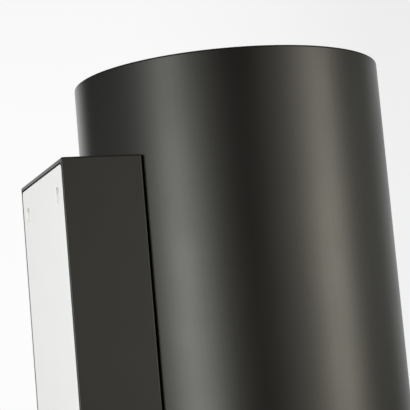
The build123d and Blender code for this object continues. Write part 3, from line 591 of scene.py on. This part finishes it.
# the step line: step k starts at share k / steps of the cone's line and sinks square to it, down to its depth
# at share (k + tread) / steps
def makeBaffle(end, side, look):
    start = np.array([look["flangeEdge"], look["flangeTop"]])
    stop = np.array([look["coneRadius"], look["coneTop"]])
    across = (stop - start) / np.linalg.norm(stop - start)
    inward = np.array([-across[1], across[0]])
    inward *= np.sign(-inward[1])
    share = np.repeat(np.arange(look["steps"]), 2) + np.tile([0.0, look["stepTread"]], look["steps"])
    depth = np.tile([0.0, look["stepDepth"]], look["steps"])
    steps = start + (share / look["steps"])[:, None] * (stop - start) + depth[:, None] * inward
    flange = [(look["outerRadius"], look["flangeTop"])]
    under = [stop, (look["coneRadius"], look["coneBottom"]), (look["underRadius"], look["flangeBottom"]),
             (look["outerRadius"], look["flangeBottom"])]
    outline = np.concatenate([flange, steps, under])
    rounded = roundCorners(outline, look["rounding"], look["roundingSteps"])
    piece = spunRing(f"{end}_stepped_baffle", atEnd(rounded, side))
    fitPiece(piece, "housing", baffleFinish, f"{end}_baffle")


# lamp front: a clear plate with small lenses in a honeycomb, over a white board with light-emitting chips
lensLook = {
    "radius": 23.5, "bottom": 90.35, "top": 91.8, "rounding": 0.3, "rings": 84, "turns": 240,
    "pitch": 3.1, "dip": 0.55, "rimWidth": 1.2, "rimFade": 0.4,
    "boardRadius": 23.3, "boardBottom": 89.42, "boardTop": 89.85, "boardTurns": 96,
}
chipLook = {
    "ringRadius": 12.5, "count": 8, "half": 1.6, "thickness": 0.35, "power": 5.0,
    "topShare": 0.8, "bands": 6, "turns": 28,
}


# honeycomb of lenses: the plate sinks by dip * (distance to the nearest lattice point / reach)^2, which fades
# out at the rim; the lattice has a point in the middle of the plate
def honeycomb(x, y, look):
    pitch = look["pitch"] * mm
    reach = pitch / math.sqrt(3)
    rowStep = pitch * math.sqrt(3)
    distances = []
    for shiftX, shiftY in ((0, 0), (pitch / 2, rowStep / 2)):
        u = x - shiftX
        v = y - shiftY
        distances.append(np.hypot(u - pitch * np.round(u / pitch), v - rowStep * np.round(v / rowStep)))
    nearest = np.minimum(*distances)
    edge = (look["radius"] - look["rimWidth"]) * mm
    inside = np.clip((edge - np.hypot(x, y)) / (look["rimFade"] * mm), 0, 1)
    return -look["dip"] * mm * inside * (nearest / reach) ** 2


def makeLampFront(end, side, look, chips):
    rim = look["radius"]
    rings = np.linspace(rim - look["rounding"], 0, look["rings"])
    back = [(0, look["bottom"]), (rim, look["bottom"]), (rim, look["top"] - look["rounding"])]
    front = np.stack([rings, np.full_like(rings, look["top"])], axis=-1)
    line = np.concatenate([back, front])
    frontRows = (line[1:-1, 1] == look["top"])[:, None]

    def lift(x, y):
        return honeycomb(x, y, look) * frontRows * side

    piece = spunDisc(f"{end}_lens_plate", atEnd(line, side), look["turns"], lift)
    fitPiece(piece, f"{end}_lamp", lampLensFinish, f"{end}_lamp_lens")
    board = [(0, look["boardBottom"]), (look["boardRadius"], look["boardBottom"]),
             (look["boardRadius"], look["boardTop"]), (0, look["boardTop"])]
    piece = spunDisc(f"{end}_light_board", atEnd(board, side), look["boardTurns"])
    fitPiece(piece, f"{end}_lamp", boardFinish)
    makeChips(end, side, look["boardTop"], chips)


# chips: pads |x|^n + |y|^n = half^n with a rounded edge, as rings that shrink with the cosine of v while they
# rise with its sine; one in the middle and the rest evenly round it
def makeChips(end, side, seat, look):
    v = np.linspace(0, math.pi / 2, look["bands"])[:, None]
    u = np.linspace(0, 2 * math.pi, look["turns"], endpoint=False)
    power = 2 / look["power"]
    padX = look["half"] * np.sign(np.cos(u)) * np.abs(np.cos(u)) ** power
    padY = look["half"] * np.sign(np.sin(u)) * np.abs(np.sin(u)) ** power
    shrink = look["topShare"] + (1 - look["topShare"]) * np.cos(v)
    pad = np.stack([padX * shrink, padY * shrink, look["thickness"] * np.sin(v) + 0 * u], axis=-1)
    turn = np.arange(look["count"]) / look["count"] * 2 * math.pi
    centres = np.concatenate([[[0, 0]], look["ringRadius"] * np.stack([np.cos(turn), np.sin(turn)], axis=-1)])
    points = np.concatenate([pad.reshape(-1, 3), [[0, 0, 0], [0, 0, look["thickness"]]]])
    shifted = points[None] + np.concatenate([centres, np.full((len(centres), 1), seat)], axis=1)[:, None]
    index = np.arange(len(v) * len(u)).reshape(len(v), len(u))
    offsets = np.arange(len(centres))[:, None, None] * len(points)
    faces = [(group[None] + offsets).reshape(-1, group.shape[1]) for group in closedRings(index)]
    placed = shifted.reshape(-1, 3) * mm * np.array([1, 1, side]) + np.array([0, axisY, 0])
    piece = meshObject(f"{end}_light_chips", placed, faces)
    fitPiece(piece, f"{end}_lamp", chipFinish)


boardFinish = makeFinish("board_white", {
    "colour": (0.86, 0.86, 0.84), "spread": 0.02, "roughness": (0.4, 0.55), "cloud": 3 * mm,
    "bumps": ((0.3 * mm, 0.004 * mm, False),),
})
chipFinish = makeFinish("chip_phosphor", {
    "colour": (0.86, 0.66, 0.10), "spread": 0.06, "roughness": (0.35, 0.5), "cloud": 0.8 * mm,
    "bumps": ((0.1 * mm, 0.004 * mm, False),),
})


# edges of the clamp rings and the wall plate, in millimetres and degrees
edgeLook = {"ringWidth": 0.22, "plateWidth": 0.2, "segments": 2, "angle": 30.0, "merge": 1e-4, "flat": 0.3}


# a merged copy of a CAD node whose sharp edges are rounded
def roundedCopy(node, body, material, width, look):
    mesh = nodes[node].data.copy()
    for attribute in [a for a in mesh.attributes if a.name == "custom_normal"]:
        mesh.attributes.remove(attribute)
    shape = bmesh.new()
    shape.from_mesh(mesh)
    bmesh.ops.remove_doubles(shape, verts=shape.verts[:], dist=look["merge"] * mm)
    flat = math.radians(look["flat"])
    bmesh.ops.dissolve_limit(shape, angle_limit=flat, verts=shape.verts[:], edges=shape.edges[:])
    shape.to_mesh(mesh)
    shape.free()
    mesh.shade_smooth()
    mesh.set_sharp_from_angle(angle=math.radians(look["angle"]))
    piece = bpy.data.objects.new(f"{node}_rounded", mesh)
    bpy.context.scene.collection.objects.link(piece)
    bevel = piece.modifiers.new("rounding", "BEVEL")
    bevel.width = width * mm
    bevel.segments = look["segments"]
    bevel.limit_method = "ANGLE"
    bevel.angle_limit = math.radians(look["angle"])
    bevel.harden_normals = True
    fitPiece(piece, body, material, node)


for end, side in ends:
    makeGlass(end, side, glassLook)
    makeBaffle(end, side, baffleLook)
    makeLampFront(end, side, lensLook, chipLook)
    roundedCopy(f"{end}_clamp_ring", f"{end}_ring", ringFinish, edgeLook["ringWidth"], edgeLook)
roundedCopy("wall_plate", "housing", plateFinish, edgeLook["plateWidth"], edgeLook)
print("pieces made")
